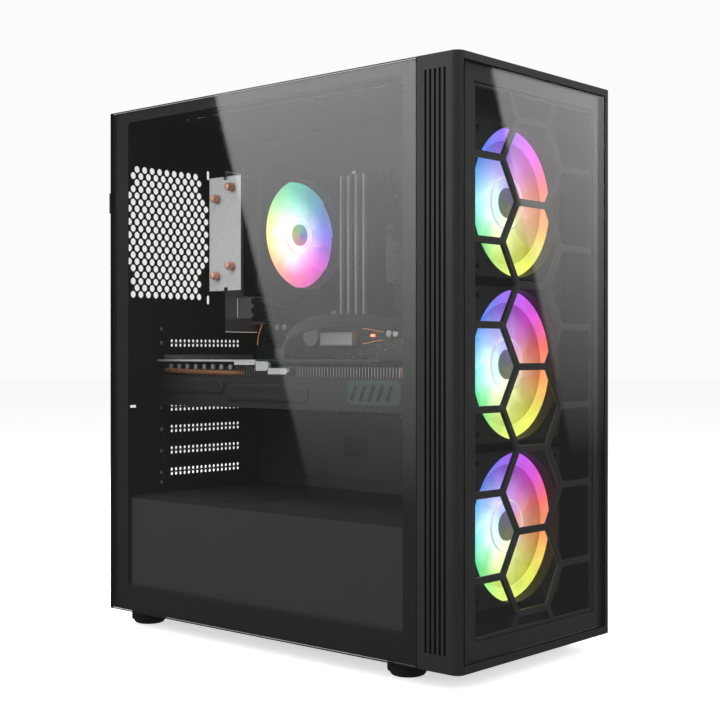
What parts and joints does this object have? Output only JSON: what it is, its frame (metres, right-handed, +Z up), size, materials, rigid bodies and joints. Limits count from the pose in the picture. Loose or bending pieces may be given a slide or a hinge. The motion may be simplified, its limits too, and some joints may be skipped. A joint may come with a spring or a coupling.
{
  "type": "desktop computer tower",
  "caption": "Black mid-tower computer case with a glass side and front, a honeycomb grille, lit fans, and a motherboard, graphics card, cooler and power supply inside.",
  "frame": {"origin": "under the middle of the tower, on the surface that its feet stand on", "axes": "+Z up, -Y towards the front, -X towards the glass side"},
  "size_m": [0.205, 0.4064, 0.464],
  "materials": {
    "black_steel": "matt black powder coat on sheet steel",
    "black_plastic": "satin black moulded plastic",
    "rubber": "black rubber",
    "side_glass": "smoked tempered glass with a black printed edge",
    "front_glass": "smoked tempered glass with a black printed edge",
    "fan_blade": "milky translucent plastic lit from the hub in rainbow colours",
    "board": "dark circuit board with solder mask",
    "memory": "dark heat spreader with a frosted light bar",
    "aluminium": "satin aluminium",
    "copper": "bare polished copper",
    "bright_steel": "bright nickel plated steel",
    "filter_mesh": "fine black mesh on a magnetic frame",
    "cable": "black sleeved wires"
  },
  "bodies": {
    "chassis": {"bottom_pan": "black_steel", "rear_panel": "black_steel", "top_panel": "black_steel", "motherboard_tray": "black_steel", "front_wall": "black_steel", "psu_shroud": "black_steel", "slot_cover_1": "black_steel", "slot_cover_4": "black_steel", "slot_cover_5": "black_steel", "slot_cover_6": "black_steel", "slot_cover_7": "black_steel", "psu_case": "black_steel", "front_fan_1_frame": "black_plastic", "front_fan_2_frame": "black_plastic", "front_fan_3_frame": "black_plastic", "cooler_fan_frame": "black_plastic", "gpu_shroud": "black_plastic", "psu_inlet": "black_plastic", "foot_front_left": "rubber", "foot_front_right": "rubber", "foot_rear_left": "rubber", "foot_rear_right": "rubber", "motherboard": "board", "gpu_board": "board", "memory_module_1": "memory", "memory_module_2": "memory", "memory_module_3": "memory", "memory_module_4": "memory", "io_ports": "bright_steel", "io_shield": "bright_steel", "processor": "bright_steel", "gpu_bracket": "bright_steel", "vrm_heatsink": "aluminium", "m2_drive": "aluminium", "cooler_fins": "aluminium", "gpu_heatsink": "aluminium", "cooler_base": "copper", "atx_power_cable": "cable", "gpu_power_cable": "cable"},
    "side_panel": {"side_glass": "side_glass", "side_glass_frame": "black_steel", "glass_thumbscrew_1": "black_steel", "glass_thumbscrew_2": "black_steel"},
    "right_panel": {"right_side_panel": "black_steel"},
    "bezel": {"front_bezel": "black_plastic", "front_grille": "black_plastic", "front_glass": "front_glass", "front_io_board": "black_plastic"},
    "power_key": {"power_button": "black_plastic"},
    "reset_key": {"reset_button": "black_plastic"},
    "dust_filter": {"top_dust_filter": "filter_mesh"},
    "front_rotor_1": {"front_fan_1_rotor": "fan_blade"},
    "front_rotor_2": {"front_fan_2_rotor": "fan_blade"},
    "front_rotor_3": {"front_fan_3_rotor": "fan_blade"},
    "cooler_rotor": {"cooler_fan_rotor": "fan_blade"},
    "gpu_rotor_1": {"gpu_fan_1_rotor": "black_plastic"},
    "gpu_rotor_2": {"gpu_fan_2_rotor": "black_plastic"},
    "psu_rotor": {"psu_fan_rotor": "black_plastic"},
    "psu_rocker": {"psu_switch": "black_plastic"}
  },
  "joints": [
    {"name": "side_panel_slide", "type": "slide", "parent": "chassis", "child": "side_panel", "axis": [0, 1, 0], "range_m": [0, 0.02]},
    {"name": "right_panel_slide", "type": "slide", "parent": "chassis", "child": "right_panel", "axis": [0, 1, 0], "range_m": [0, 0.02]},
    {"name": "bezel_pull", "type": "slide", "parent": "chassis", "child": "bezel", "axis": [0, -1, 0], "range_m": [0, 0.02]},
    {"name": "power_button_press", "type": "slide", "parent": "bezel", "child": "power_key", "axis": [0, 0, -1], "range_m": [0, 0.0016], "stiffness_N_per_m": 400},
    {"name": "reset_button_press", "type": "slide", "parent": "bezel", "child": "reset_key", "axis": [0, 0, -1], "range_m": [0, 0.0012], "stiffness_N_per_m": 400},
    {"name": "dust_filter_lift", "type": "slide", "parent": "chassis", "child": "dust_filter", "axis": [0, 0, 1], "range_m": [0, 0.02]},
    {"name": "front_fan_1_spin", "type": "hinge", "parent": "chassis", "child": "front_rotor_1", "pos_m": [0, -0.17015, 0.364], "axis": [0, 1, 0], "continuous": true},
    {"name": "front_fan_2_spin", "type": "hinge", "parent": "chassis", "child": "front_rotor_2", "pos_m": [0, -0.17015, 0.237], "axis": [0, 1, 0], "continuous": true},
    {"name": "front_fan_3_spin", "type": "hinge", "parent": "chassis", "child": "front_rotor_3", "pos_m": [0, -0.17015, 0.11], "axis": [0, 1, 0], "continuous": true},
    {"name": "cooler_fan_spin", "type": "hinge", "parent": "chassis", "child": "cooler_rotor", "pos_m": [0.0115, 0.06985, 0.3535], "axis": [0, 1, 0], "continuous": true},
    {"name": "gpu_fan_1_spin", "type": "hinge", "parent": "chassis", "child": "gpu_rotor_1", "pos_m": [0.0065, -0.02815, 0.204], "axis": [0, 0, 1], "continuous": true},
    {"name": "gpu_fan_2_spin", "type": "hinge", "parent": "chassis", "child": "gpu_rotor_2", "pos_m": [0.0065, 0.08185, 0.204], "axis": [0, 0, 1], "continuous": true},
    {"name": "psu_fan_spin", "type": "hinge", "parent": "chassis", "child": "psu_rotor", "pos_m": [0.0025, 0.11855, 0.027], "axis": [0, 0, 1], "continuous": true},
    {"name": "psu_switch_rock", "type": "hinge", "parent": "chassis", "child": "psu_rocker", "pos_m": [0.0195, 0.18555, 0.044], "axis": [1, 0, 0], "range_deg": [0, 12]}
  ]
}
